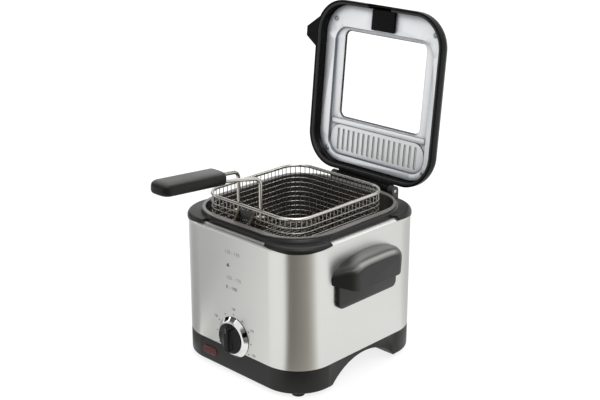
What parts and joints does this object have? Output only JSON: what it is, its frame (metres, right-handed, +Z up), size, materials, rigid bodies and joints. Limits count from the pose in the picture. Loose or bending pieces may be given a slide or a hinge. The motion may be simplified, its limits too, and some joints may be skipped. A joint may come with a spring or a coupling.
{
  "type": "deep fryer",
  "caption": "Compact square deep fryer: steel body on a black base, fixed pot, lift-out wire basket with a long handle, hinged lid with a window, thermostat knob.",
  "frame": {"origin": "on the worktop, at the middle of the four feet and of the body's plan", "axes": "+Z up, -Y towards the front with the knob, +X to the fryer's right-hand handle as seen from the front"},
  "size_m": [0.254, 0.374, 0.4061],
  "materials": {
    "base_black": "moulded charcoal black",
    "rubber": "matt rubber",
    "steel": "fine horizontal brushing",
    "collar_black": "satin charcoal black",
    "handle_black": "satin black",
    "pot_grey": "dark grey non-stick coat",
    "heater": "cast",
    "element": "oxidised tube",
    "zinc": "zinc plated",
    "inner_plastic": "natural moulding",
    "chrome": "bright",
    "knob_black": "gloss black",
    "lamp_red": "deep red, translucent",
    "lid_black": "gloss black",
    "liner_silver": "satin silver",
    "window": "clear",
    "gasket": "black silicone",
    "filter_foam": "pale grey felt",
    "wire": "bright plated wire",
    "grip": "satin dark grey"
  },
  "bodies": {
    "housing": {"base_tray": "base_black", "rubber_feet": "rubber", "shield_posts": "zinc", "base_screws": "zinc", "steel_wall": "steel", "top_collar": "collar_black", "inner_pot": "pot_grey", "heater_plate": "heater", "heating_element": "element", "thermal_cutout": "zinc", "heat_shield": "zinc", "terminal_block": "inner_plastic", "cord_gland": "base_black", "thermostat": "zinc", "pilot_lens": "lamp_red", "lamp_holder": "inner_plastic", "right_handle": "handle_black", "left_handle": "handle_black", "handle_screws": "zinc", "hinge_block": "handle_black", "hinge_screws": "zinc", "hinge_pin": "chrome"},
    "lid": {"lid_shell": "lid_black", "lid_liner": "liner_silver", "liner_screws": "zinc", "window_glass": "window", "window_gasket": "gasket", "lid_seal": "gasket", "filter_cover": "liner_silver", "filter_pad": "filter_foam", "handle_gate": "lid_black"},
    "basket": {"basket_rim": "wire", "basket_foot_ring": "wire", "basket_front_net": "wire", "basket_back_net": "wire", "basket_right_net": "wire", "basket_left_net": "wire", "basket_corner_nets": "wire", "basket_floor_net": "wire", "handle_rods": "wire", "rod_sockets": "wire", "drain_hooks": "wire", "hook_plate": "knob_black", "handle_grip": "grip"},
    "knob": {"knob_shaft": "zinc", "knob_skirt": "chrome", "knob_cap": "knob_black"}
  },
  "joints": [
    {"name": "lid_hinge", "type": "hinge", "parent": "housing", "child": "lid", "pos_m": [0, 0.1146, 0.18765], "axis": [1, 0, 0], "range_deg": [0, 95.5]},
    {"name": "basket_lower", "type": "slide", "parent": "housing", "child": "basket", "axis": [0, 0, -1], "range_m": [0, 0.053]},
    {"name": "thermostat_knob", "type": "hinge", "parent": "housing", "child": "knob", "pos_m": [0, -0.1105, 0.0518], "axis": [0, -1, 0], "range_deg": [0, 240]}
  ],
  "couplings": [
    {"joint": "basket_lower", "follows": "lid_hinge", "m_per_rad": 0.031797}
  ]
}
